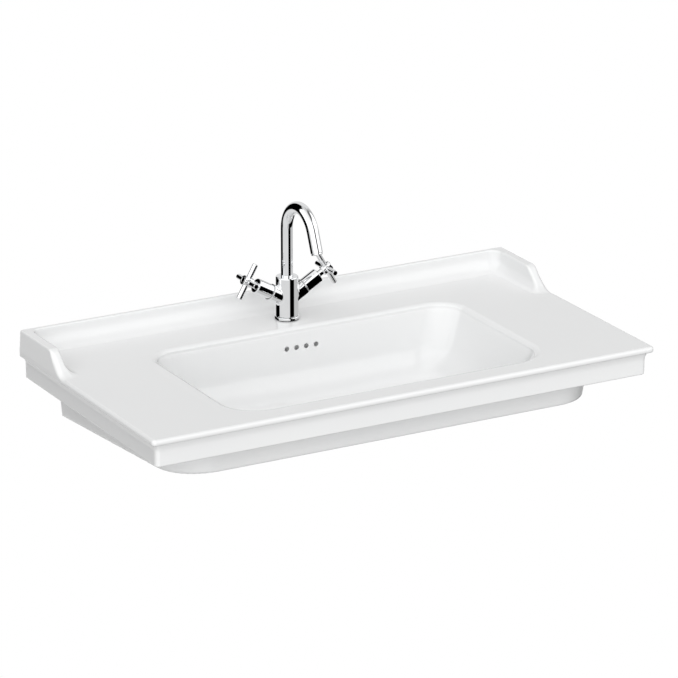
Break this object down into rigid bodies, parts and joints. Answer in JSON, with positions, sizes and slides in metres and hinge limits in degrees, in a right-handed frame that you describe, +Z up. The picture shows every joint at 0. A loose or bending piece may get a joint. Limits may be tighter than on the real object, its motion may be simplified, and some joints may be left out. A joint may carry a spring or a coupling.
{
  "type": "washbasin with two-handle mixer",
  "caption": "Wide wall-hung ceramic washbasin with a raised back edge, rectangular bowl, swan-neck two-handle mixer and click waste.",
  "frame": {"origin": "middle of the wall plane at deck height", "axes": "+Y points out of the back into the wall, +Z up, +X to the user's right, so the user stands at -Y"},
  "size_m": [1, 0.53, 0.4069],
  "materials": {
    "ceramic": "white gloss glaze",
    "chrome": "mirror polished plate",
    "brass": "turned, uncoated",
    "steel": "zinc-bright steel",
    "rubber": "matt black moulding",
    "plastic": "moulded acetal",
    "alumina": "ground ceramic disc"
  },
  "bodies": {
    "basin_assembly": {"basin": "ceramic", "horseshoe_gasket": "rubber", "horseshoe_plate": "steel", "left_bonnet": "chrome", "left_joint_ring": "chrome", "left_spindle_seal": "rubber", "left_valve_body": "brass", "left_valve_fixed_disc": "alumina", "left_valve_seat": "rubber", "right_bonnet": "chrome", "right_joint_ring": "chrome", "right_spindle_seal": "rubber", "right_valve_body": "brass", "right_valve_fixed_disc": "alumina", "right_valve_seat": "rubber", "tap_base_ring": "chrome", "tap_body": "chrome", "tap_fixing_nut": "brass", "tap_gasket": "rubber", "tap_stud": "steel", "waste_backnut": "brass", "waste_body": "chrome", "waste_clicker": "plastic", "waste_lower_seal": "rubber", "waste_spring": "steel", "waste_top_seal": "rubber"},
    "left_handle": {"left_handle_hub": "chrome", "left_handle_cap": "chrome", "left_spindle": "brass", "left_valve_turning_disc": "alumina", "left_handle_bar_1": "chrome", "left_handle_bar_2": "chrome", "left_handle_bar_3": "chrome", "left_handle_bar_4": "chrome"},
    "right_handle": {"right_handle_hub": "chrome", "right_handle_cap": "chrome", "right_spindle": "brass", "right_valve_turning_disc": "alumina", "right_handle_bar_1": "chrome", "right_handle_bar_2": "chrome", "right_handle_bar_3": "chrome", "right_handle_bar_4": "chrome"},
    "swivel_spout": {"spout": "chrome", "spout_tail": "brass", "spout_o_ring_1": "rubber", "spout_o_ring_2": "rubber", "aerator_housing": "chrome", "aerator_seal": "rubber", "aerator_insert": "plastic"},
    "pop_up_plug": {"waste_plug": "chrome", "waste_plug_seal": "rubber", "waste_plug_stem": "steel"}
  },
  "joints": [
    {"name": "left_handle_turn", "type": "hinge", "parent": "basin_assembly", "child": "left_handle", "pos_m": [-0.08097, -0.075, 0.08325], "axis": [-0.866, 0, 0.5], "range_deg": [0, 90]},
    {"name": "right_handle_turn", "type": "hinge", "parent": "basin_assembly", "child": "right_handle", "pos_m": [0.08097, -0.075, 0.08325], "axis": [0.866, 0, 0.5], "range_deg": [-90, 0]},
    {"name": "spout_swivel", "type": "hinge", "parent": "basin_assembly", "child": "swivel_spout", "pos_m": [0, -0.075, 0.08], "axis": [0, 0, 1], "range_deg": [-60, 60]},
    {"name": "plug_slide", "type": "slide", "parent": "basin_assembly", "child": "pop_up_plug", "axis": [0, 0, 1], "range_m": [0, 0.009], "deforming": ["waste_spring"]}
  ]
}
